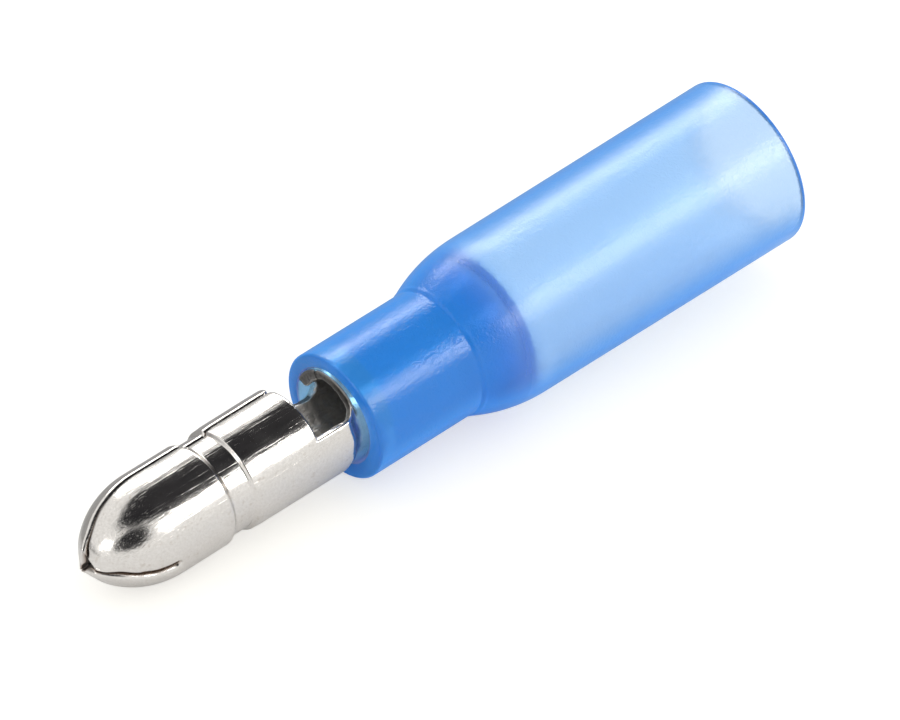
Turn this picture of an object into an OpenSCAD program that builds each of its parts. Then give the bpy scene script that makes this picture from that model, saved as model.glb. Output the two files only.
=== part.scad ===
// Insulated male bullet connector for one wire, lying on its side.
// A strip of plated brass is rolled into a hollow bullet, an open neck and a wire barrel.
// A clear blue heat-shrink sleeve grips the barrel and opens to the rear for the wire.

/* [Bullet] */
// Outside diameter of the bullet
bullet_d = 5; // [4.6:0.1:5.4]
// Length of the bullet, from the opening at its tip to its rear edge
bullet_l = 11.7; // [10.5:0.1:14]
// Thickness of the rolled sheet
sheet_t = 0.5; // [0.3:0.05:0.6]
// Radius of the arc that the nose is pressed to
nose_arc_r = 4.6; // [3.5:0.1:7]
// Diameter of the opening that the petals leave at the tip
tip_d = 0.9; // [0.7:0.05:1.3]
// Gap between the two rolled edges, which runs the length of the strip
seam_gap = 0.1; // [0.06:0.01:0.2]
// How far the seam leans back from straight up
seam_lean = 22; // [-45:1:45]

/* [Petals] */
// Number of petals that close the nose
petal_count = 3; // [2:1:4]
// Gap between two petals
slit_w = 0.12; // [0.08:0.01:0.2]
// Length of the slits, measured along the axis from the tip
slit_l = 3.2; // [2:0.1:4]

/* [Snap groove] */
// Distance from the bullet's rear edge to the middle of the groove
groove_at = 4.44; // [4:0.02:5.5]
// Width of the groove's flat bottom
groove_w = 1.04; // [0.5:0.02:1.2]
// Depth of the groove
groove_depth = 0.2; // [0.1:0.02:0.3]
// Length of the groove's sloping side, towards the nose
groove_slope_l = 0.34; // [0.2:0.02:0.6]
// Length of the groove's steep side, towards the rear
groove_step_l = 0.14; // [0.06:0.02:0.5]

/* [Neck] */
// Length of the open neck, from the bullet's rear edge to the barrel's mouth
neck_l = 2.4; // [1.8:0.1:3.5]
// Height of the neck's two walls above the axis
neck_wall_h = 0.35; // [0:0.05:0.8]
// Radius of the corners where the walls turn up into the barrel's mouth
neck_corner_r = 0.6; // [0.3:0.05:0.9]
// Length over which the neck narrows to the barrel
neck_taper_l = 0.65; // [0.4:0.05:1]

/* [Wire barrel] */
// Outside diameter of the barrel
barrel_d = 4.34; // [4:0.02:4.5]
// Length of the barrel
barrel_l = 8.7; // [7:0.1:9]
// How far the barrel's mouth stands out of the sleeve
barrel_proud = 0.13; // [0.05:0.01:0.4]
// Depth of the slot in the far wall behind the barrel's mouth
slot_l = 0.8; // [0.7:0.1:2]
// Height of that slot
slot_h = 1.24; // [0.8:0.02:1.3]

/* [Sleeve] */
// Length of the sleeve
sleeve_l = 24.7; // [20:0.1:32]
// Outside diameter of the narrow front part
narrow_d = 6.2; // [6.1:0.05:7]
// Length of the narrow front part
narrow_l = 5.95; // [4.5:0.05:6.5]
// Radius of the shoulder's rounded back
shoulder_arc_r = 8.6; // [5:0.1:12]
// Outside diameter just behind the shoulder
wide_d = 7.96; // [7.6:0.02:9]
// Outside diameter at the open rear end
rear_d = 8.12; // [7.6:0.02:9.2]
// Diameter of the wide bore that takes the wire's insulation
wire_bore_d = 6.7; // [5.6:0.05:6.9]
// Depth of that opening, in front of the tight bore
mouth_l = 1.4; // [1:0.1:2]
// Gap between the barrel's end and the step where the wide bore starts
step_gap = 0.23; // [0.1:0.01:1.5]
// Size of the slanted corner at the foot of that step
step_corner = 0.25; // [0.1:0.05:0.5]
// Chamfer on the outer and inner edges of both end faces
edge_chamfer = 0.06; // [0.03:0.01:0.12]

/* [Fit of the two pieces] */
// Gap all round between the barrel and the bore that grips it
grip_gap = 0.01; // [0:0.005:0.05]
// Gap between the barrel and the sleeve's front opening where they come closest
mouth_gap = 0.02; // [0.01:0.01:0.15]
// How far the sleeve sits off the terminal's axis
off_centre = 0.24; // [0:0.02:0.3]
// Direction of that shift, turned from straight up towards the front
off_centre_turn = 133; // [0:1:180]

/* [Hidden] */
$fn = 96;
// How far a cut runs past a face, and how far two joined forms run into each other.
over = 0.01;
lap = 1;

// Places along the terminal's axis, with 0 at the sleeve's front face and the nose at minus x.
barrel_mouth_x = -barrel_proud;
barrel_end_x = barrel_mouth_x + barrel_l;
bullet_rear_x = barrel_mouth_x - neck_l;
groove_x = bullet_rear_x - groove_at;
tip_x = bullet_rear_x - bullet_l;

step_at = barrel_end_x + step_gap;

bullet_r = bullet_d / 2;
barrel_r = barrel_d / 2;
tip_r = tip_d / 2;
mouth_r = barrel_r + off_centre + mouth_gap;

// The nose's arc is tangent to the bullet's side, so its centre lies off the axis.
nose_centre_r = bullet_r - nose_arc_r;
nose_l = sqrt(nose_arc_r ^ 2 - (tip_r - nose_centre_r) ^ 2);
nose_start_x = tip_x + nose_l;

// The shoulder's arc is tangent to the wide part and ends at the narrow part.
shoulder_centre_r = wide_d / 2 - shoulder_arc_r;
shoulder_l = sqrt(shoulder_arc_r ^ 2 - (narrow_d / 2 - shoulder_centre_r) ^ 2);
wide_start_x = narrow_l + shoulder_l;

// The connector is nose-heavy, so it rests on the start of the nose and on the shoulder.
// Both are arcs: a line that touches both from below gives the tilt at rest.
sleeve_shift = off_centre * [0, -sin(off_centre_turn), cos(off_centre_turn)];
rest_run = wide_start_x - nose_start_x;
rest_rise = shoulder_centre_r - sleeve_shift[2] - nose_centre_r;
rest_tilt = asin((shoulder_arc_r - nose_arc_r) / norm([rest_run, rest_rise]))
    + atan2(rest_rise, rest_run);

// Lays a piece down as it rests, with the middle of the snap groove at the origin.
module laid() {
    rotate([0, -rest_tilt, 0]) translate([-groove_x, 0, 0]) children();
}

// Turns a profile drawn as x along the axis and y as radius about the x axis.
module turned() {
    rotate([0, 90, 0]) rotate_extrude() mirror([1, 0]) rotate(90) children();
}

// The bullet as a solid form, from the axis out to its skin less inset.
module bullet_form(inset) {
    r = bullet_r - inset;
    front_x = groove_x - groove_w / 2;
    rear_x = groove_x + groove_w / 2;
    difference() {
        union() {
            turned() translate([nose_start_x, 0]) square([bullet_rear_x - nose_start_x, r]);
            turned() intersection() {
                translate([nose_start_x, nose_centre_r]) circle(nose_arc_r - inset);
                translate([tip_x - over, 0]) square([nose_l + lap, r]);
            }
        }
        turned() polygon([
            [front_x - groove_slope_l, r],
            [front_x, r - groove_depth],
            [rear_x, r - groove_depth],
            [rear_x + groove_step_l, r],
            [rear_x + groove_step_l, r + lap],
            [front_x - groove_slope_l, r + lap],
        ]);
    }
}

// The neck and the barrel as one solid form, less inset.
module neck_barrel_form(inset) {
    turned() polygon([
        [bullet_rear_x - lap, 0],
        [bullet_rear_x - lap, bullet_r - inset],
        [barrel_mouth_x - neck_taper_l, bullet_r - inset],
        [barrel_mouth_x, barrel_r - inset],
        [barrel_end_x, barrel_r - inset],
        [barrel_end_x, 0],
    ]);
}

// The cut that opens the neck, as seen from the side.
module neck_cut_outline() {
    r = neck_corner_r;
    translate([bullet_rear_x, neck_wall_h + r]) square([neck_l, bullet_d]);
    translate([bullet_rear_x, neck_wall_h]) square([neck_l - r, bullet_d]);
    translate([barrel_mouth_x - r, neck_wall_h + r]) circle(r);
}

// The slot that carries the far wall's edge on into the barrel, from where the corner starts.
module far_slot_outline() {
    r = slot_h / 2;
    start_x = barrel_mouth_x - neck_corner_r;
    end_x = barrel_mouth_x + slot_l - r;
    translate([start_x, neck_wall_h]) square([end_x - start_x, slot_h]);
    translate([end_x, neck_wall_h + r]) circle(r);
}

// Stands an outline drawn as x and z up on edge, from y = 0 away from the viewer to y = reach.
module stood_up(reach) {
    translate([0, reach, 0]) rotate([90, 0, 0]) linear_extrude(reach) children();
}

// One slit between petals, cut from the tip with a round end, straight up from the axis.
module petal_slit() {
    end_x = tip_x + slit_l;
    translate([tip_x - over, -slit_w / 2, 0]) cube([end_x - tip_x + over, slit_w, bullet_d]);
    translate([end_x, 0, 0]) cylinder(d = slit_w, h = bullet_d);
}

module terminal() {
    color("silver") laid() rotate([-seam_lean, 0, 0]) difference() {
        union() {
            bullet_form(0);
            neck_barrel_form(0);
        }
        bullet_form(sheet_t);
        neck_barrel_form(sheet_t);
        // The hollow is open at the tip and at the barrel's end.
        turned() translate([tip_x - over, 0]) square([sheet_t + lap, tip_r]);
        turned() translate([barrel_end_x - lap, 0]) square([lap + over, barrel_r - sheet_t]);
        // Seam along the top of the strip.
        translate([tip_x - over, -seam_gap / 2, 0])
            cube([barrel_end_x - tip_x + 2 * over, seam_gap, bullet_d]);
        for (i = [1 : petal_count - 1]) rotate([i * 360 / petal_count, 0, 0]) petal_slit();
        translate([0, -bullet_d, 0]) stood_up(2 * bullet_d) neck_cut_outline();
        stood_up(bullet_d) far_slot_outline();
    }
}

// The outside of the sleeve as a solid form.
module sleeve_form() {
    c = edge_chamfer;
    turned() polygon([[0, 0], [0, narrow_d / 2 - c], [c, narrow_d / 2],
        [narrow_l + lap, narrow_d / 2], [narrow_l + lap, 0]]);
    turned() intersection() {
        translate([wide_start_x, shoulder_centre_r]) circle(shoulder_arc_r, $fn = 180);
        translate([narrow_l, 0]) square([shoulder_l + lap, wide_d]);
    }
    turned() polygon([[wide_start_x, 0], [wide_start_x, wide_d / 2], [sleeve_l - c, rear_d / 2],
        [sleeve_l, rear_d / 2 - c], [sleeve_l, 0]]);
}

// The opening in the sleeve's front face and the wide bore, both on the sleeve's own axis.
module sleeve_hollows() {
    c = edge_chamfer;
    bore_r = wire_bore_d / 2;
    foot_x = step_at + step_corner;
    turned() polygon([[-over, 0], [-over, mouth_r + c + over], [c, mouth_r],
        [mouth_l, mouth_r], [mouth_l, 0]]);
    turned() polygon([[step_at, 0], [step_at, bore_r - step_corner], [foot_x, bore_r],
        [sleeve_l - c, bore_r], [sleeve_l + over, bore_r + c + over], [sleeve_l + over, 0]]);
}

module sleeve() {
    color([0.25, 0.55, 0.95, 0.6]) laid() difference() {
        translate(sleeve_shift) sleeve_form();
        translate(sleeve_shift) sleeve_hollows();
        // The tight bore follows the barrel's own axis.
        translate([mouth_l - over, 0, 0]) rotate([0, 90, 0])
            cylinder(r = barrel_r + grip_gap, h = step_at - mouth_l + 2 * over);
    }
}

terminal();
sleeve();
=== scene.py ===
# %% [markdown]
# # An insulated bullet connector
# The real part is two pieces. A strip of plated brass is rolled into a hollow bullet with an open
# neck and a wire barrel behind it. A clear blue heat-shrink sleeve grips the barrel.
# The CAD model is loaded first. It fixes every size, and nothing here moves or resizes it.

# %% Load the CAD model
import math

import bmesh
import bpy
import numpy as np
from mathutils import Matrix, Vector, noise
from mathutils.kdtree import KDTree


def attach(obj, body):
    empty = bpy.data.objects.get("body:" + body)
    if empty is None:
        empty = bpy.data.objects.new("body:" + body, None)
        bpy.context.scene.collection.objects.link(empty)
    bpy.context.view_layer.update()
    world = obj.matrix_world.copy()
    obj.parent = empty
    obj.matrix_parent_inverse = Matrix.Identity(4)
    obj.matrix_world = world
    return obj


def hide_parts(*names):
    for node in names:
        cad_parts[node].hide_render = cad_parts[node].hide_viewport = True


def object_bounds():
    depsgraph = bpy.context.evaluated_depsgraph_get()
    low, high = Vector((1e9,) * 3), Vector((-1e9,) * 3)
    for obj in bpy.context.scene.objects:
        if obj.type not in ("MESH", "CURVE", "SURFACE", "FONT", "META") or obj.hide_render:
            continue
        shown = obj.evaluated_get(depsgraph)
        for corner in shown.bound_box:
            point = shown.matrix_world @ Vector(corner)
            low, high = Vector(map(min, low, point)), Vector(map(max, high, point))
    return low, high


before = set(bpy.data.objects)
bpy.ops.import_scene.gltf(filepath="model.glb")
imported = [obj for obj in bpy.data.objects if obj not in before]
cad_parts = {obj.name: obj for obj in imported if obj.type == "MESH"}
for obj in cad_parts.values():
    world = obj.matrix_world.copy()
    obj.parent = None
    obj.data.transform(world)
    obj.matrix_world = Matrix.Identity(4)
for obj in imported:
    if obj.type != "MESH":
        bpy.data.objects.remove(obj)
cad_low, cad_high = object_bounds()
print("CAD box in mm:", [round(1000 * v, 3) for v in (*cad_low, *cad_high)])

# %% [markdown]
# ## Sizes
# The pieces are made in millimetres along the terminal's own axis: x = 0 at the sleeve's front face,
# the nose at minus x, and z straight up. The sizes in these two cells are the ones of the CAD source.
# A size that only the finish needs is given further down, where it is first used.

# %% Sizes of the terminal
MM = 0.001
SHEET = 0.5
BULLET_R = 2.5
BARREL_R = 2.17
NOSE_ARC = 4.6
TIP_R = 0.45
TAPER = 0.65
WALL_H = 0.35
CORNER_R = 0.6
SLOT_L = 0.8
SLOT_H = 1.24
SEAM_GAP = 0.1
SEAM_LEAN = math.radians(22)
GROOVE_HALF = 0.52
GROOVE_DEPTH = 0.2
GROOVE_SLOPE = 0.34
GROOVE_STEP = 0.14

MOUTH_X = -0.13
BARREL_END = MOUTH_X + 8.7
REAR_X = MOUTH_X - 2.4
GROOVE_X = REAR_X - 4.44
TIP_X = REAR_X - 11.7
NOSE_CENTRE = BULLET_R - NOSE_ARC
NOSE_START = TIP_X + math.sqrt(NOSE_ARC ** 2 - (TIP_R - NOSE_CENTRE) ** 2)
print("the terminal is", round(BARREL_END - TIP_X, 2), "mm long")
print("its nose starts", round(NOSE_START - TIP_X, 2), "mm behind the tip")

# %% Sizes of the sleeve
NARROW_R = 3.1
NARROW_L = 5.95
SHOULDER_ARC = 8.6
WIDE_R = 3.98
REAR_R = 4.06
SLEEVE_L = 24.7
BORE_R = 3.35
OPENING_L = 1.4
OFF_CENTRE = 0.24
OFF_TURN = math.radians(133)

GRIP_R = BARREL_R + 0.01
OPENING_R = BARREL_R + OFF_CENTRE + 0.02
STEP_X = BARREL_END + 0.23
SHOULDER_CENTRE = WIDE_R - SHOULDER_ARC
WIDE_START = NARROW_L + math.sqrt(SHOULDER_ARC ** 2 - (NARROW_R - SHOULDER_CENTRE) ** 2)
SHIFT_Y = -OFF_CENTRE * math.sin(OFF_TURN)
SHIFT_Z = OFF_CENTRE * math.cos(OFF_TURN)
print("the sleeve is", SLEEVE_L, "mm long and", 2 * REAR_R, "mm across")
print("its shoulder ends", round(WIDE_START, 2), "mm behind the front face")

# %% [markdown]
# ## How it lies
# The connector is nose-heavy, so it rests on its nose and on the sleeve's shoulder, and its axis rises
# towards the wire end. Both touch the floor with an arc, and a line that touches both arcs from below
# gives the tilt. One helper takes a point from the piece's own axis to the place where it lies, so
# that each piece can be modelled straight.

# %% From the piece's own axis to the place where it lies
run = WIDE_START - NOSE_START
rise = SHOULDER_CENTRE - SHIFT_Z - NOSE_CENTRE
TILT = math.asin((SHOULDER_ARC - NOSE_ARC) / math.hypot(run, rise)) + math.atan2(rise, run)
FLOOR_Z = cad_low.z


def lay_down(points):
    """Takes points in mm along the own axis to metres in the CAD frame."""
    p = np.asarray(points, float)
    x, y, z = p[:, 0] - GROOVE_X, p[:, 1], p[:, 2]
    c, s = math.cos(TILT), math.sin(TILT)
    return np.stack([x * c - z * s, y, x * s + z * c], axis=1) * MM


print("the axis rises by", round(math.degrees(TILT), 2), "degrees, and the floor is",
      round(-FLOOR_Z / MM, 3), "mm below the groove's middle")

# %% [markdown]
# ## Meshes from points
# A lathe would give a perfect round, but stamped and shrunk parts aren't perfect. So each piece is a
# grid of points that is worked out by rule, and one helper turns points and faces into an object.
# A second one notes a number on each point, for the materials to read.


# %% A mesh object from points and faces
def add_piece(name, points, faces):
    """Makes a smooth mesh piece that rides on the connector."""
    mesh = bpy.data.meshes.new(name)
    mesh.from_pydata([tuple(p) for p in lay_down(points)], [], faces)
    turned_out = bmesh.new()
    turned_out.from_mesh(mesh)
    bmesh.ops.recalc_face_normals(turned_out, faces=turned_out.faces)
    turned_out.to_mesh(mesh)
    turned_out.free()
    for polygon in mesh.polygons:
        polygon.use_smooth = True
    piece = bpy.data.objects.new(name, mesh)
    bpy.context.collection.objects.link(piece)
    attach(piece, "root")
    print(name, "has", len(mesh.vertices), "points and", len(mesh.polygons), "faces")
    return piece


def note_points(piece, name, values):
    """Keeps one number for each point, which a material can read by that name."""
    kept = piece.data.attributes.new(name, "FLOAT", "POINT")
    kept.data.foreach_set("value", np.asarray(values, np.float32))


# %% [markdown]
# ## The terminal: a strip, rolled
# The real one starts as a flat strip with two slits at one end and cut-outs at its edges. It is rolled
# until its long edges nearly meet on top. A boolean cut of a solid tube would leave sharp edges, so it
# is made as the strip itself: patches of sheet between edge lines, which share their borders.
# An angle is measured round the axis from the seam, towards the near side.


# %% Two curves that the whole strip is made with
def smooth(a, b, x):
    """Goes from 0 at a to 1 at b with soft ends."""
    t = np.clip((x - a) / (b - a), 0, 1)
    return t * t * (3 - 2 * t)


def arc_drop(size, past):
    """How far a round corner of that size has fallen away, that far past its start."""
    past = np.clip(past, 0, size)
    return size - np.sqrt(size ** 2 - past ** 2)


print("halfway through a 1 mm corner it has fallen", round(float(arc_drop(1, 0.5)), 3), "mm")


# %% The skin's radius along the axis
def skin_radius(x):
    """Radius of the strip's outer skin at x, with the groove and the neck's taper."""
    x = np.asarray(x, float)
    past = np.minimum(x - NOSE_START, 0)
    nose = NOSE_CENTRE + np.sqrt(np.clip(NOSE_ARC ** 2 - past ** 2, 0, None))
    front = GROOVE_X - GROOVE_HALF
    rear = GROOVE_X + GROOVE_HALF
    into = smooth(front - GROOVE_SLOPE, front, x)
    step = 1 - smooth(rear, rear + GROOVE_STEP, x)
    ease = 1 - smooth(rear + GROOVE_STEP, rear + GROOVE_STEP + 0.5, x)
    groove = GROOVE_DEPTH * into * (0.85 * step + 0.15 * ease)
    taper = (BULLET_R - BARREL_R) * smooth(MOUTH_X - TAPER - 0.1, MOUTH_X + 0.02, x)
    return nose - groove - taper


for name, x in (("nose's end", TIP_X), ("bullet", NOSE_START), ("groove", GROOVE_X), ("barrel", 1)):
    print("radius of the", name, round(float(skin_radius(x)), 2), "mm")


# %% Edge lines of the neck and the seam
REAR_CORNER_R = 0.45


def wall_angle(height, x):
    """Angle from the seam at which the skin is that high above the axis."""
    return np.arccos(np.clip(height / skin_radius(x), -1, 1))


def near_edge(x):
    """Edge between the near side's upper and lower sheet, with the corner up to the mouth."""
    return float(wall_angle(WALL_H + arc_drop(CORNER_R, x - (MOUTH_X - CORNER_R)), x))


def slot_corner(x):
    """How far the slot's round end has closed at x."""
    r = SLOT_H / 2
    return arc_drop(r, x - (MOUTH_X + SLOT_L - r))


def far_low_edge(x):
    """The far wall's top edge, which runs on as the lower side of the slot."""
    return 2 * math.pi - float(wall_angle(WALL_H + slot_corner(x), x))


def far_high_edge(x):
    """The upper side of the slot, which closes on the lower one at the slot's end."""
    if x < MOUTH_X:
        return far_low_edge(x)
    return 2 * math.pi - float(wall_angle(WALL_H + SLOT_H - slot_corner(x), x))


def seam_edge(x):
    """Half the seam's gap as an angle, with round corners at the bullet's rear edge."""
    corner = 0
    if x <= REAR_X:
        corner = arc_drop(REAR_CORNER_R, x - (REAR_X - REAR_CORNER_R))
    return float((SEAM_GAP / 2 + corner) / skin_radius(x))


print("the near wall's edge is", round(math.degrees(near_edge(REAR_X + 1)), 1), "degrees from the seam")

# %% [markdown]
# The three petals were pressed together after the slits were cut, so they don't meet evenly. The
# seam's lips are pulled over to the near side at the tip, the near slit wanders and gapes behind its
# front end, and the far slit closes there. Their rounded edges make the slits look a little longer
# and wider than they were cut, and so they are here, against the CAD's 3.2 and 0.12 mm.

# %% Edge lines of the petals
SLIT = 2 * math.pi / 3
SLIT_END = TIP_X + 3.4
SLIT_GAP = 0.15
NEAR_LIP_PULL = 0.20
FAR_LIP_PULL = 0.17
SEAM_PULLED = (-12.5, -14.0)
NEAR_SLIT_GAPE = 0.8
NEAR_SLIT_GAPES = (-13.9, -13.2)
FAR_SLIT_SHUT = 0.9
FAR_SLIT_SHUTS = (-12.9, -13.9)
WANDER_X = [-13.4, -12.8, -12.0, -10.8, -9.0]
WANDER = [0, 0.09, 0.13, 0.08, 0]


def near_lip(x):
    """The seam's near lip, which is pulled down a little at the tip."""
    return seam_edge(x) + NEAR_LIP_PULL * float(smooth(*SEAM_PULLED, x)) / float(skin_radius(x))


def far_lip(x):
    """The seam's far lip, which follows the near one at the tip."""
    pull = FAR_LIP_PULL * float(smooth(*SEAM_PULLED, x)) / float(skin_radius(x))
    return 2 * math.pi - seam_edge(x) + pull


def slit_half(x):
    """Half of a slit's width as an angle, nothing behind the slit's end."""
    if x >= SLIT_END:
        return 0.0
    return SLIT_GAP / 2 * min(1, math.sqrt((SLIT_END - x) / 0.15)) / float(skin_radius(x))


def near_slit(x, side):
    """The upper (-1) or lower (1) side of the near slit."""
    middle = SLIT + float(np.interp(x, WANDER_X, WANDER))
    return middle + side * slit_half(x) * (1 + NEAR_SLIT_GAPE * float(smooth(*NEAR_SLIT_GAPES, x)))


def far_slit(x, side):
    """The lower (-1) or upper (1) side of the far slit, which is nearly shut at the tip."""
    return 2 * SLIT + side * slit_half(x) * (1 - FAR_SLIT_SHUT * float(smooth(*FAR_SLIT_SHUTS, x)))


gape = (near_slit(-12.5, 1) - near_slit(-12.5, -1)) * float(skin_radius(-12.5))
print("the near slit gapes by", round(gape, 2), "mm")


# %% Rows along the strip, closer together at its edges
def graded(a, b, coarse, fine, reach=0.3):
    """Places from a to b, fine within reach of both ends and coarse between them."""
    steps = []
    x = a
    while x < b - 1e-6:
        near_end = min(x - a, b - x)
        step = fine + (coarse - fine) * min(near_end / reach, 1)
        steps.append(x)
        x += step
    steps.append(b)
    if steps[-1] - steps[-2] < fine * 0.5:
        steps.pop(-2)
    return steps


stations = [TIP_X, SLIT_END, GROOVE_X - GROOVE_HALF - GROOVE_SLOPE, GROOVE_X - GROOVE_HALF]
stations += [GROOVE_X + GROOVE_HALF, GROOVE_X + GROOVE_HALF + GROOVE_STEP, REAR_X]
stations += [MOUTH_X - CORNER_R, MOUTH_X, MOUTH_X + SLOT_L - SLOT_H / 2, MOUTH_X + SLOT_L]
rows = []
for a, b in zip(stations, stations[1:]):
    rows += graded(a, b, 0.13, 0.04)[:-1]
rows += graded(MOUTH_X + SLOT_L, BARREL_END, 0.4, 0.06, 1.0)
print("the strip has", len(rows), "rows")


# %% Patches of sheet between two edge lines
def beside_neck(x):
    """True in the bullet and in the barrel, where the upper sheet isn't cut away."""
    return x <= REAR_X + 1e-9 or x >= MOUTH_X - 1e-9


def everywhere(x):
    """True all along the strip."""
    return True


# The two edge lines of each patch, the points across it, and where along the strip it is.
PATCHES = [
    (near_lip, near_edge, 36, beside_neck),
    (near_edge, lambda x: near_slit(x, -1), 20, everywhere),
    (lambda x: near_slit(x, 1), lambda x: far_slit(x, -1), 44, everywhere),
    (lambda x: far_slit(x, 1), far_low_edge, 20, everywhere),
    (far_high_edge, far_lip, 36, beside_neck),
]
print("the strip has", len(PATCHES), "patches")

# %% Places and faces of the strip
strip = []
strip_faces = []
numbers = {}


def point_at(x, angle):
    """Number of the point at that place on the strip, made once and shared by the patches."""
    key = (round(x, 5), round(angle, 5))
    if key not in numbers:
        numbers[key] = len(strip)
        strip.append((x, angle))
    return numbers[key]


def row_of_points(x, a, b, count):
    """Numbers of the points from angle a to angle b, closer together at both ends."""
    shares = 0.5 - 0.5 * np.cos(np.pi * np.linspace(0, 1, count))
    return [point_at(x, a + (b - a) * s) for s in shares]


for left, right, count, wanted in PATCHES:
    grid = {x: row_of_points(x, left(x), right(x), count) for x in rows if wanted(x)}
    for x, next_x in zip(rows, rows[1:]):
        if x not in grid or next_x not in grid:
            continue
        here, there = grid[x], grid[next_x]
        for j in range(count - 1):
            quad = list(dict.fromkeys([here[j], here[j + 1], there[j + 1], there[j]]))
            if len(quad) > 2:
                strip_faces.append(quad)
print("the strip has", len(strip), "places and", len(strip_faces), "faces")

# %% [markdown]
# The cut edges of stamped sheet roll over a little. The distance from each place to the nearest cut
# edge says how far the skin drops there, which is what catches the light along the seam and the slits.


# %% Places on the skin, and soft noise there
def on_axis(x, radius, angle):
    """Points in mm, with the angle taken from the seam, which leans back."""
    y = -radius * np.sin(angle)
    z = radius * np.cos(angle)
    c, s = math.cos(SEAM_LEAN), math.sin(SEAM_LEAN)
    return np.stack([x, y * c + z * s, -y * s + z * c], axis=1)


def wobble(points, size, seed):
    """Soft noise between -1 and 1 at that feature size, in mm."""
    return np.array([noise.noise(Vector(p) / size + Vector((seed, 2 * seed, 0))) for p in points])


x, angle = np.array(strip).T
radius = skin_radius(x)
flat = on_axis(x, radius, angle)
print("the skin reaches from", np.round(flat.min(axis=0), 2), "to", np.round(flat.max(axis=0), 2))


# %% Where the strip's cut edges are
def border_of(faces):
    """The edges that only one face uses, each in the direction of its face."""
    seen = {}
    for f in faces:
        for a, b in zip(f, f[1:] + f[:1]):
            seen[(a, b)] = True
    return [e for e in seen if (e[1], e[0]) not in seen]


def gap_to_border(place):
    """Distance from a place on the skin to the nearest cut edge, taken to the edge's own line."""
    gaps = []
    for found in tree.find_n(place, 4):
        start, end = border_ends[found[1]]
        along = end - start
        t = (place - start).dot(along) / max(along.length_squared, 1e-12)
        gaps.append((start.lerp(end, min(max(t, 0), 1)) - place).length)
    return min(gaps)


border = border_of(strip_faces)
cut = sorted({i for e in border for i in e})
border_ends = [(Vector(flat[a]), Vector(flat[b])) for a, b in border]
tree = KDTree(len(border) * 3)
for k, (start, end) in enumerate(border_ends):
    for t in (0, 0.33, 0.67):
        tree.insert(start.lerp(end, t), k)
tree.balance()
edge_gap = np.array([gap_to_border(Vector(p)) for p in flat])
print("cut edges:", len(border), "edge pieces, and no place is more than",
      round(float(edge_gap.max()), 2), "mm from one")

# %% How far the skin drops at its cut edges
SEAM_ROLL = 0.13
SLIT_ROLL = 0.27
FAR_SLIT_ROLL = 0.09
NECK_ROLL = 0.09

at_far_slit = (1 - smooth(0.3, 0.6, np.abs(angle - 2 * SLIT))) * smooth(-12.6, -13.6, x)
roll = np.where(angle > SLIT - 0.02, SLIT_ROLL, SEAM_ROLL) - (SLIT_ROLL - FAR_SLIT_ROLL) * at_far_slit
roll = np.where(x < REAR_X - 0.35, roll, NECK_ROLL)
drop = arc_drop(roll, roll - edge_gap)
print("the edges drop by up to", round(float(drop.max()), 2), "mm")

# %% Dents that pressing and crimping leave in the skin
WAVE = 0.010
TIP_BEVEL = 0.14
PLEATS = 13
PLEAT_DEPTH = 0.05
FOLD_DEPTH = 0.17
INNER_ROLL = 0.05

soft = wobble(flat, 2.2, 3.1)
drop = drop + WAVE * (1 + soft) * smooth(-14, -12, x)
near_petal = smooth(0.1, 0.3, angle) * (1 - smooth(SLIT - 0.3, SLIT - 0.1, angle))
drop = drop + TIP_BEVEL * near_petal * (1 - smooth(TIP_X + 0.10, TIP_X + 0.36, x))
pleated = smooth(-1.15, -0.45, x) * (1 - smooth(-0.3, -0.1, x))
drop = drop + PLEAT_DEPTH * pleated * (0.5 + 0.5 * np.sin(angle * PLEATS + 2 * soft))
folds = wobble(flat, 0.9, 8.3) + 0.5 * wobble(flat, 0.4, 5.7)
in_neck = smooth(REAR_X - 1.2, REAR_X, x) * (1 - smooth(0.0, 1.2, x))
depth = SHEET - arc_drop(INNER_ROLL, INNER_ROLL - edge_gap) - FOLD_DEPTH * in_neck * np.clip(folds, -1, 1)
depth = np.where(x < NOSE_START, SHEET, depth)
print("the neck's sheet is", round(float(depth.min()), 2), "to", round(float(depth.max()), 2), "mm thick")


# %% The skin and the inside of the sheet
TIP_HALF = 0.35
TIP_CORNER = 0.64
THINNEST = 0.12


def tip_opening(angle):
    """Half width of the opening at the tip: three straight petal ends leave a triangle."""
    off_middle = np.abs((angle % SLIT) - SLIT / 2)
    return np.minimum(TIP_HALF / np.cos(off_middle), TIP_CORNER)


slope = np.clip((NOSE_START - x) / NOSE_ARC, 0, 0.9)
lean = np.sqrt(1 - slope ** 2)
at_tip = 1 - smooth(TIP_X, TIP_X + 0.8, x)
base_r = radius + (tip_opening(angle) - skin_radius(TIP_X)) * at_tip
outer = on_axis(x + drop * slope, base_r - drop * lean, angle)
inner = on_axis(x + depth * slope, np.maximum(base_r - depth * lean, THINNEST), angle)
print("skin", outer.shape, "inside", inner.shape)

# %% Close the strip into one solid sheet
total = len(outer)
terminal_faces = [f[::-1] for f in strip_faces]
terminal_faces += [[i + total for i in f] for f in strip_faces]
rim_outer = outer[cut] * 0.88 + inner[cut] * 0.12
rim_inner = outer[cut] * 0.12 + inner[cut] * 0.88
upper = {i: 2 * total + k for k, i in enumerate(cut)}
lower = {i: 2 * total + len(cut) + k for k, i in enumerate(cut)}
for a, b in border:
    terminal_faces.append([a, b, upper[b], upper[a]])
    terminal_faces.append([upper[a], upper[b], lower[b], lower[a]])
    terminal_faces.append([lower[a], lower[b], b + total, a + total])
terminal = add_piece("terminal_strip", np.concatenate([outer, inner, rim_outer, rim_inner]),
                     terminal_faces)
terminal.data.set_sharp_from_angle(angle=math.radians(100))

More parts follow.
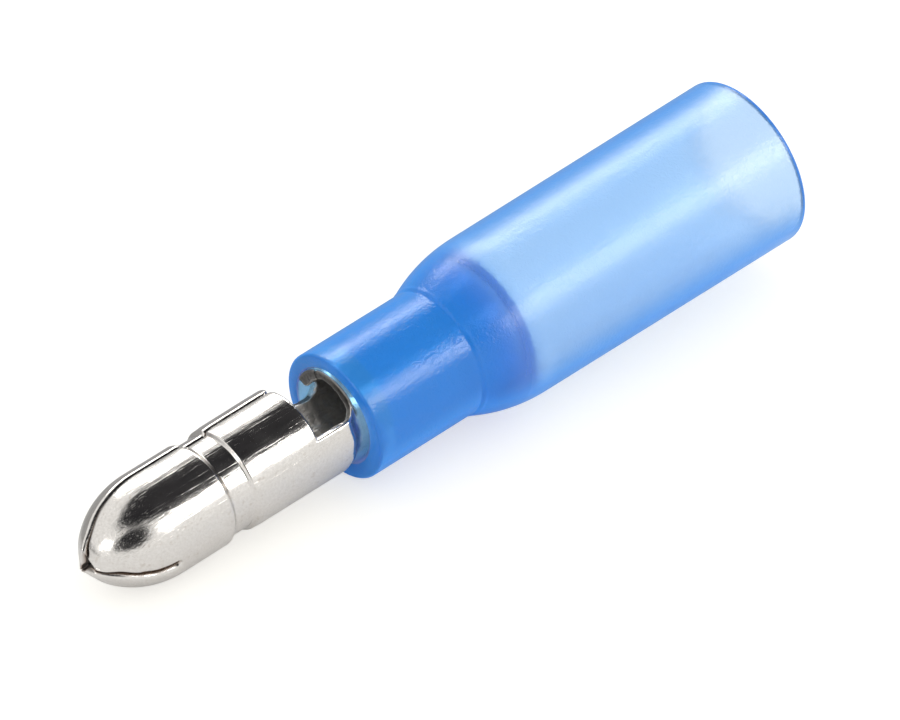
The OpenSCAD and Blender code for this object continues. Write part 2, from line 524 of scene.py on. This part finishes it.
# %% Notes for the terminal's finish
raw_edge = (1 - smooth(0.0, 0.07, edge_gap)) * (1 - smooth(REAR_X - 0.5, REAR_X - 0.2, x))
upper_half = np.cos(angle) > 0.1
tip_inside = 1 - smooth(TIP_X + 0.3, TIP_X + 1.2, x)
front_lip = (1 - smooth(0.02, 0.16, x - MOUTH_X)) * (x > MOUTH_X - 0.01) * upper_half
# Painted shade, kept as a note on the points: a little on the barrel under the sleeve, and near black on
# the upper front lip at the mouth, in the tip's opening and inside the barrel behind the neck.
outer_painted_shade = np.maximum(0.30 * smooth(0.5, 1.5, x), 0.9 * front_lip)
inner_painted_shade = np.maximum(tip_inside, 0.75 * smooth(-0.6, 0.4, x))
rim_painted_shade = np.maximum(tip_inside, (np.abs(x - MOUTH_X) < 0.45) & upper_half)[cut]
rim_edge = raw_edge[cut]
at_rim = np.zeros(len(cut))
note_points(terminal, "cut_edge", np.concatenate([raw_edge, raw_edge, rim_edge, rim_edge]))
note_points(terminal, "inside", np.concatenate([np.zeros(total), np.ones(total), at_rim, at_rim + 1]))
note_points(terminal, "painted_shade", np.concatenate([outer_painted_shade, inner_painted_shade, rim_painted_shade, rim_painted_shade]))
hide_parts("terminal")
print("noted on the terminal:", round(float(raw_edge.sum())), "raw places of", total)

# %% [markdown]
# ## The sleeve: a moulded and half-shrunk tube
# The real one is a plastic tube that is shrunk tight on the barrel and left wide behind it. Light
# bends in it, so it needs a true wall: an outside, two end faces and the hollows, as one closed skin.
# A profile is turned round its axis, ring by ring, so that a ring can be moved off the axis or made
# a little uneven where the real one is.


# %% The outside, from the front face to the rear one
BEAD_H = 0.02
BEAD_HALF = 0.09
BEAD_X = NARROW_L + 0.16
LIP = 0.14
RIM = 0.2


def shoulder_profile():
    """Outside radii from the narrow part over a small bead and the shoulder to the wide part."""
    ring = []
    at_bead = np.arange(NARROW_L - 0.16, NARROW_L + 0.5, 0.04)
    behind_it = np.linspace(NARROW_L + 0.55, WIDE_START, 26)
    for px in [*at_bead, *behind_it]:
        r = NARROW_R
        if px > NARROW_L:
            r = SHOULDER_CENTRE + math.sqrt(SHOULDER_ARC ** 2 - (px - WIDE_START) ** 2)
        ring.append((px, r + BEAD_H * math.exp(-((px - BEAD_X) / BEAD_HALF) ** 2)))
    return ring


ROUND_LIP = [(0, LIP), (0.01, 0.09), (0.04, 0.04), (0.09, 0.01)]
outside = [(back, NARROW_R - down) for back, down in ROUND_LIP]
outside += [(px, NARROW_R) for px in np.linspace(LIP, NARROW_L - 0.2, 24)]
outside += shoulder_profile()
for px in np.linspace(WIDE_START, SLEEVE_L - LIP, 46)[1:-1]:
    t = (px - WIDE_START) / (SLEEVE_L - WIDE_START)
    outside.append((px, WIDE_R + (REAR_R - WIDE_R) * t))
# The rear rim's darker finish starts sharply, between two rings that are close together.
outside += [(SLEEVE_L - back, REAR_R) for back in (RIM + 0.02, RIM - 0.01, LIP)]
outside += [(SLEEVE_L - back, REAR_R - down) for back, down in reversed(ROUND_LIP)]
print("the outside has", len(outside), "rings")

# %% The hollows, from the rear face back to the front one
FRONT_FACE_R = 2.75
STEP_RINGS = 6
STEP_ROUND_L = 1.1
STEP_ROUND_R = 1.05
hollow = [(SLEEVE_L, BORE_R + 0.08), (SLEEVE_L - 0.02, BORE_R + 0.03), (SLEEVE_L - 0.08, BORE_R)]
hollow += [(px, BORE_R) for px in np.linspace(SLEEVE_L - 0.5, STEP_X + 1.2, 30)]
for t in np.linspace(0, math.pi / 2, 16):
    hollow.append((STEP_X + STEP_ROUND_L * (1 - math.sin(t)), BORE_R - STEP_ROUND_R * (1 - math.cos(t))))
grip = [(STEP_X, GRIP_R + 0.05), (STEP_X - 0.05, GRIP_R)]
grip += [(px, GRIP_R) for px in np.linspace(STEP_X - 0.4, OPENING_L, 20)]

rings = [(px, pr, 1, "outside") for px, pr in outside]
rings += [(px, pr, 1, "bore") for px, pr in hollow[:-STEP_RINGS]]
rings += [(px, pr, 1, "core") for px, pr in hollow[-STEP_RINGS:]]
rings += [(px, pr, 0, "core") for px, pr in grip]
for t in np.linspace(0.1, 0.96, 14):
    rings.append((OPENING_L * (1 - t), GRIP_R + (OPENING_R - GRIP_R) * t ** 3, t ** 2, "lining"))
rings.append((0.02, OPENING_R + 0.03, 1, "lining"))
rings += [(0, OPENING_R + 0.08, 1, "front"), (0, FRONT_FACE_R, 1, "front")]
print("the sleeve has", len(rings), "rings")

# %% Turn the rings into a closed skin
AROUND = 192
MOUTH_SQUEEZE = 0.16
turn = np.linspace(0, 2 * math.pi, AROUND, endpoint=False)
closer = np.clip(np.cos(turn - math.atan2(SHIFT_Z, SHIFT_Y)), 0, 1)
points = []
for px, pr, shifted, part in rings:
    ring_r = np.full(AROUND, float(pr))
    if part in ("lining", "front") and pr < FRONT_FACE_R:
        ring_r = ring_r - MOUTH_SQUEEZE * closer * shifted
    y = ring_r * np.cos(turn) + SHIFT_Y * shifted
    z = ring_r * np.sin(turn) + SHIFT_Z * shifted
    points.append(np.stack([np.full(AROUND, px), y, z], axis=1))
sleeve_faces = []
for i in range(len(rings)):
    k = (i + 1) % len(rings)
    for j in range(AROUND):
        m = (j + 1) % AROUND
        sleeve_faces.append([i * AROUND + j, i * AROUND + m, k * AROUND + m, k * AROUND + j])
sleeve = add_piece("sleeve_tube", np.concatenate(points), sleeve_faces)

# %% Notes for the sleeve's finish
NOTES = {
    "outer_skin": [part in ("outside", "front") for px, pr, shifted, part in rings],
    "lining": [part == "lining" for px, pr, shifted, part in rings],
    "rear_rim": [px > SLEEVE_L - RIM for px, pr, shifted, part in rings],
    "core": [part == "core" for px, pr, shifted, part in rings],
}
for name, on in NOTES.items():
    note_points(sleeve, name, np.repeat(np.array(on, float), AROUND))
    print(name, "is noted on", sum(on), "rings")
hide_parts("sleeve")

# %% [markdown]
# ## Shader sums in plain Python
# Materials are made of nodes. Each could be added and linked by hand, but a sum of five masks would
# take a page. So a small class wraps one socket, and a sum such as 1 - mask adds its own Math node.
# One method adds any other node, and short names stand for the few that come up again and again.


# %% Sockets that take part in sums
class Value:
    """One output socket of the node tree that is being made."""

    def __init__(self, tree, socket):
        self.tree = tree
        self.socket = socket

    def maths(self, operation, other, first=False):
        values = {0: other, 1: self} if first else {0: self, 1: other}
        return node(self.tree, "ShaderNodeMath", {"operation": operation}, values)

    def __add__(self, other):
        return self.maths("ADD", other)

    def __radd__(self, other):
        return self.maths("ADD", other, True)

    def __sub__(self, other):
        return self.maths("SUBTRACT", other)

    def __rsub__(self, other):
        return self.maths("SUBTRACT", other, True)

    def __mul__(self, other):
        return self.maths("MULTIPLY", other)

    def __rmul__(self, other):
        return self.maths("MULTIPLY", other, True)


def node(tree, kind, settings=None, values=None, out=0):
    """Adds a node, sets it up, then fills or links its sockets. Gives back one output."""
    made = tree.nodes.new(kind)
    for name, setting in (settings or {}).items():
        setattr(made, name, setting)
    for name, value in (values or {}).items():
        socket = made.inputs[name]
        if isinstance(name, str):
            socket = next(s for s in made.inputs if s.name == name and s.enabled)
        if isinstance(value, Value):
            tree.links.new(value.socket, socket)
        else:
            socket.default_value = value
    outputs = [s for s in made.outputs if s.enabled]
    if isinstance(out, str):
        return Value(tree, next(s for s in outputs if s.name == out))
    return Value(tree, outputs[out])


# %% Short names for the nodes that are used most
def new_material(name):
    """An empty material and its node tree."""
    material = bpy.data.materials.new(name)
    material.use_nodes = True
    material.node_tree.nodes.clear()
    return material, material.node_tree


def show(tree, surface, volume=None, kind="ShaderNodeOutputMaterial"):
    """Ends a material or a world in its output node."""
    made = tree.nodes.new(kind)
    tree.links.new(surface.socket, made.inputs["Surface"])
    if volume is not None:
        tree.links.new(volume.socket, made.inputs["Volume"])


def noted(tree, name):
    """The number that was noted on the points by that name."""
    return node(tree, "ShaderNodeAttribute", {"attribute_name": name}, out="Fac")


def mixed(tree, factor, a, b):
    """A colour between a and b."""
    return node(tree, "ShaderNodeMix", {"data_type": "RGBA"}, {"Factor": factor, "A": a, "B": b},
                out="Result")


def eased(tree, value, low, high, start=0.0, end=1.0):
    """Goes softly from start to end while the value goes from low to high."""
    return node(tree, "ShaderNodeMapRange", {"interpolation_type": "SMOOTHSTEP"}, {
        "Value": value, "From Min": low, "From Max": high, "To Min": start, "To Max": end})


def part_of(tree, vector, axis):
    """One part, X, Y or Z, of a vector."""
    return node(tree, "ShaderNodeSeparateXYZ", values={"Vector": vector}, out=axis)


def stretched(tree, vector, scale, turned=(0, 0, 0)):
    """A place that is turned and scaled, so that a texture runs along the piece."""
    return node(tree, "ShaderNodeMapping", {"vector_type": "POINT"},
                {"Vector": vector, "Rotation": turned, "Scale": scale})


def place_along(tree):
    """The place on a piece in mm along its own axis, 0 at the groove."""
    place = node(tree, "ShaderNodeTexCoord", out="Object")
    return stretched(tree, place, (1000, 1000, 1000), (0, TILT, 0))


def cloudy(tree, vector, scale, detail, distortion=0.0):
    """Soft noise about 0.5 with features of 1 / scale mm."""
    return node(tree, "ShaderNodeTexNoise", values={
        "Vector": vector, "Scale": scale, "Detail": detail, "Distortion": distortion})


# %% [markdown]
# ## The terminal's finish
# The real strip is brass with a thin bright plating. It mirrors the room, but drawing and rolling
# leave soft lengthwise waves, fine scratches and pits in it, and the cut edges show the bare brass,
# which is darkened here with painted shade for the slits and the seam.
# Image maps would need a layout and a picture, so it is one metal shader whose roughness and bump
# come from noise along the piece's own axis. The notes on the points say where an edge is raw,
# where the inside is, and where shade is painted: a little on the barrel under the sleeve, and near
# black at the mouth's upper lip, in the tip's opening and inside the barrel behind the neck.

# %% Marks of drawing, handling and wear
plated, tree = new_material("bright_plate")
own = place_along(tree)
cloud = cloudy(tree, own, 0.8, 5.0)
drawn = cloudy(tree, stretched(tree, own, (0.9, 6, 6)), 1.0, 6.0)
grain = cloudy(tree, own, 9.0, 4.0)
crumple = cloudy(tree, own, 1.5, 1.5, 1.2)
scratch = cloudy(tree, stretched(tree, own, (0.35, 14, 14), (0, 0, 0.12)), 1.0, 3.0)
scratch = eased(tree, scratch, 0.60, 0.70)
spots = eased(tree, cloudy(tree, own, 3.0, 4.0), 0.60, 0.72)
pit = node(tree, "ShaderNodeTexVoronoi", values={"Vector": own, "Scale": 3.2}, out="Distance")
pit = eased(tree, pit, 0.04, 0.14, 1.0, 0.0)
raw = noted(tree, "cut_edge")
inside = noted(tree, "inside")
painted_shade = noted(tree, "painted_shade")
print("marks of", plated.name, "use", len(tree.nodes), "nodes")

# %% Bright plated sheet
DULL_PLATE = (0.62, 0.585, 0.54, 1)
CLEAN_PLATE = (0.84, 0.815, 0.78, 1)
SHADED_PLATE = (0.80, 0.775, 0.74, 1)
BARE_BRASS_IN_SHADE = (0.20, 0.135, 0.095, 1)
STAIN = (0.47, 0.40, 0.33, 1)
PAINTED_SHADE_TINT = (0.03, 0.028, 0.026, 1)

tint = mixed(tree, grain, DULL_PLATE, CLEAN_PLATE)
tint = mixed(tree, inside, tint, SHADED_PLATE)
# Bare brass at the cut edges, darkened with painted shade for the slits and the seam.
tint = mixed(tree, 0.8 * raw, tint, BARE_BRASS_IN_SHADE)
tint = mixed(tree, 0.35 * spots + 0.3 * pit, tint, STAIN)
# Painted shade: the noted places are mixed towards near black.
tint = mixed(tree, painted_shade * (0.85 + 0.3 * (drawn - 0.5)), tint, PAINTED_SHADE_TINT)
rough = 0.05 + 0.10 * cloud + 0.14 * drawn + 0.04 * inside + 0.10 * raw + 0.25 * painted_shade
height = cloud + 0.45 * drawn + 0.10 * grain - 0.10 * pit + 0.10 * scratch + 9.0 * crumple * inside
bump = node(tree, "ShaderNodeBump", values={"Height": height, "Strength": 0.5, "Distance": 0.00004})
metal = node(tree, "ShaderNodeBsdfPrincipled", values={
    "Base Color": tint, "Metallic": 1 - 0.5 * inside, "Roughness": rough, "Normal": bump})
show(tree, metal)
terminal.data.materials.append(plated)
print(plated.name, "has", len(tree.nodes), "nodes")

# %% [markdown]
# ## The sleeve's finish
# The real tube is clear blue polyolefin. Where it is shrunk tight it is thick and deep blue, and where
# it is left wide it is thin, pale and a little milky. Glass alone looks too dark and too empty, and
# plain paint hides the wall, so it is clear plastic with a blue volume, mixed with a milky skin.
# A third shader deepens the blue where the wall is seen at a low angle, as a long way through it does.

# %% How the plastic changes over the sleeve
plastic, tree = new_material("clear_blue_plastic")
own = place_along(tree)
wide = eased(tree, part_of(tree, own, "X"), NARROW_L - GROOVE_X - 0.2, STEP_X - GROOVE_X - 0.1)
skin_part = noted(tree, "outer_skin")
lip_part = noted(tree, "lining")
rim_part = noted(tree, "rear_rim")
core_part = noted(tree, "core")
from_inside = node(tree, "ShaderNodeNewGeometry", out="Backfacing")
ripple = cloudy(tree, stretched(tree, own, (0.5, 1.1, 1.1)), 1.0, 3.0)
crinkle = cloudy(tree, own, 4.2, 2.0, 1.6)
bump = node(tree, "ShaderNodeBump", values={
    "Height": ripple + crinkle, "Strength": 0.4, "Distance": 0.00005})
print("the masks of", plastic.name, "use", len(tree.nodes), "nodes")

# %% Clear plastic under a milky skin
clear = node(tree, "ShaderNodeBsdfPrincipled", values={
    "Base Color": mixed(tree, wide, (0.46, 0.82, 1.0, 1), (0.93, 0.965, 0.985, 1)),
    "Roughness": 0.14 + 0.08 * wide, "IOR": 1.45, "Transmission Weight": 1.0, "Normal": bump})
milk_tint = mixed(tree, wide * wide * wide, (0.026, 0.25, 0.74, 1), (0.24, 0.52, 1.0, 1))
milk_tint = mixed(tree, lip_part, milk_tint, (0.36, 0.52, 0.88, 1))
milk_tint = mixed(tree, core_part, milk_tint, (0.02, 0.24, 0.68, 1))
milk_tint = mixed(tree, rim_part, milk_tint, (0.016, 0.21, 0.75, 1))
milk = node(tree, "ShaderNodeBsdfPrincipled", values={
    "Base Color": milk_tint, "Roughness": 0.18 + 0.10 * wide, "IOR": 1.45, "Normal": bump})
milkiness = (0.74 - 0.38 * wide) * skin_part + 0.55 * lip_part + 0.45 * rim_part
body = node(tree, "ShaderNodeMixShader", values={
    0: milkiness * (1 - from_inside) + 0.85 * core_part * from_inside, 1: clear, 2: milk})
print("the milky skin brings it to", len(tree.nodes), "nodes")

# %% Deeper blue at a low angle, and the blue in the wall
deep = node(tree, "ShaderNodeBsdfPrincipled", values={
    "Base Color": (0.045, 0.36, 1.0, 1), "Roughness": 0.3, "IOR": 1.3, "Normal": bump})
grazing = node(tree, "ShaderNodeLayerWeight", values={"Blend": 0.5}, out="Facing")
long_way = eased(tree, grazing, 0.34, 0.72, 0.0, 0.7)
body = node(tree, "ShaderNodeMixShader", values={
    0: long_way * skin_part * (1 - from_inside), 1: body, 2: deep})
absorb = node(tree, "ShaderNodeVolumeAbsorption", values={
    "Color": (0.36, 0.69, 1.0, 1), "Density": 740.0})
show(tree, body, absorb)
sleeve.data.materials.append(plastic)
print(plastic.name, "has", len(tree.nodes), "nodes")

# %% [markdown]
# ## The studio
# The real one lies on white paper in a light tent. A pale floor keeps the shadow, and a white surround
# at strength 1 gives the light. Bright metal looks like metal only if it has something dark to mirror,
# so the surround turns dark overhead and in one doorway, for mirrored rays alone. A lamp that did this
# would also change the paper. Three soft boxes draw the long highlights and leave the paper alone.

# %% The floor
FLOOR_HALF = 1.5
floor_mesh = bpy.data.meshes.new("floor")
corners = [(a * FLOOR_HALF, b * FLOOR_HALF, FLOOR_Z) for a, b in ((-1, -1), (1, -1), (1, 1), (-1, 1))]
floor_mesh.from_pydata(corners, [], [[0, 1, 2, 3]])
floor = bpy.data.objects.new("floor", floor_mesh)
bpy.context.collection.objects.link(floor)
print("the floor is", 2 * FLOOR_HALF, "m wide")

# %% White paper
paper, tree = new_material("white_paper")
seen = node(tree, "ShaderNodeLightPath", out="Is Camera Ray")
through = node(tree, "ShaderNodeLightPath", out="Is Transmission Ray")
mirrored = node(tree, "ShaderNodeLightPath", out="Is Glossy Ray")
looked_at = seen.maths("MAXIMUM", through)
spot_y = part_of(tree, node(tree, "ShaderNodeTexCoord", out="Object"), "Y")
behind = node(tree, "ShaderNodeMapRange", values={"Value": spot_y, "From Min": 0.002, "From Max": 0.010})
paper_tint = mixed(tree, looked_at, (0.95, 0.95, 0.95, 1), (0.58, 0.57, 0.535, 1))
# Painted shade: in mirrored rays only, the paper behind the connector is grey, so the metal's far edges
# mirror something darker.
paper_tint = mixed(tree, behind * mirrored * (1 - through), paper_tint, (0.40, 0.40, 0.40, 1))
matt = node(tree, "ShaderNodeBsdfDiffuse", values={"Color": paper_tint})
lift = node(tree, "ShaderNodeEmission", values={"Color": (1, 0.99, 0.965, 1), "Strength": 0.6 * looked_at})
show(tree, node(tree, "ShaderNodeAddShader", values={0: matt, 1: lift}))
floor.data.materials.append(paper)
print(paper.name, "has", len(tree.nodes), "nodes")

# %% Dark patches of the surround
world = bpy.data.worlds.new("studio")
bpy.context.scene.world = world
world.use_nodes = True
tree = world.node_tree
tree.nodes.clear()
way = node(tree, "ShaderNodeTexCoord", out="Generated")
sideways = part_of(tree, way, "X")
backward = part_of(tree, way, "Y")
level = part_of(tree, way, "Z")


def round_patch(centre, inner, outer):
    """1 in a round patch of the surround about that direction, 0 outside it; angles in degrees."""
    towards = tuple(Vector(centre).normalized())
    near = node(tree, "ShaderNodeVectorMath", {"operation": "DOT_PRODUCT"}, {0: way, 1: towards},
                out="Value")
    return eased(tree, near, math.cos(math.radians(outer)), math.cos(math.radians(inner)))


def oval_patch(centre_x, centre_y, half_x, half_y):
    """1 in an oval of the surround overhead, 0 outside it; sizes are those of its shadow on a disc."""
    a = (sideways - centre_x) * (1 / half_x)
    b = (backward - centre_y) * (1 / half_y)
    return eased(tree, a * a + b * b, 0.80, 1.18, 1.0, 0.0) * level.maths("GREATER_THAN", 0)


ceiling = oval_patch(0.25, -0.075, 0.82, 0.55)
doorway = round_patch((-0.55, -0.68, 0.55), 18, 26)
print("the patches use", len(tree.nodes), "nodes")

# %% The surround
mirrored = node(tree, "ShaderNodeLightPath", out="Is Glossy Ray")
through = node(tree, "ShaderNodeLightPath", out="Is Transmission Ray")
only_mirrored = mirrored * (1 - through)
low_down = eased(tree, level, 0.16, 0.40, 1.0, 0.0)
at_back = node(tree, "ShaderNodeMapRange", values={"Value": backward, "From Min": 0.2, "From Max": 0.5})
sky = mixed(tree, ceiling.maths("MAXIMUM", doorway) * only_mirrored, (1, 1, 1, 1), (0.015, 0.015, 0.018, 1))
sky = mixed(tree, low_down * at_back * only_mirrored, sky, (0.40, 0.40, 0.41, 1))
light = node(tree, "ShaderNodeBackground", values={"Color": sky, "Strength": 1.0})
show(tree, light, kind="ShaderNodeOutputWorld")
print(world.name, "has", len(tree.nodes), "nodes")


# %% Soft boxes
def soft_box(name, towards, width, height, radiance, distance=0.6):
    """A lamp panel that far off in that direction, facing the connector."""
    lamp = bpy.data.lights.new(name, "AREA")
    lamp.shape = "RECTANGLE"
    lamp.size = width
    lamp.size_y = height
    lamp.energy = radiance * math.pi * width * height
    box = bpy.data.objects.new(name, lamp)
    bpy.context.collection.objects.link(box)
    towards = Vector(towards).normalized()
    box.location = towards * distance
    box.rotation_euler = towards.to_track_quat("Z", "Y").to_euler()
    box.visible_diffuse = False
    print(name, "gives", round(lamp.energy, 3), "W")


soft_box("back_box", (0.44, 0.69, 0.57), 0.55, 0.16, 6.0)
soft_box("front_box", (0.44, -0.71, 0.55), 0.55, 0.16, 6.5)
soft_box("side_box", (-0.89, -0.09, 0.44), 0.2, 0.16, 3.0)

# %% [markdown]
# ## The camera
# The part is seen from above its nose, and a little from the near side. A short lens close by would
# swell the nose, so it is a long lens from a little under half a metre, with almost no perspective.

# %% The camera
AZIMUTH = math.radians(-41.9)
HEIGHT = math.radians(36.7)
DISTANCE = 0.45
AIM_RIGHT = 4.82
AIM_UP = 2.34

looking = Vector((-math.sin(AZIMUTH) * math.cos(HEIGHT), math.cos(AZIMUTH) * math.cos(HEIGHT),
                  -math.sin(HEIGHT)))
right = Vector((math.cos(AZIMUTH), math.sin(AZIMUTH), 0))
upward = right.cross(looking)
anchor = Vector(lay_down([(0.35, SHIFT_Y, SHIFT_Z)])[0])
aim = anchor + (AIM_RIGHT * right + AIM_UP * upward) * MM
lens = bpy.data.cameras.new("camera")
lens.lens = 410.4
lens.sensor_width = 36
lens.clip_start = 0.01
camera = bpy.data.objects.new("camera", lens)
bpy.context.collection.objects.link(camera)
camera.location = aim - DISTANCE * looking
camera.rotation_mode = "QUATERNION"
camera.rotation_quaternion = looking.to_track_quat("-Z", "Y")
bpy.context.scene.camera = camera
bpy.context.scene.view_settings.view_transform = "Standard"
print("the camera is at", [round(v, 3) for v in camera.location])
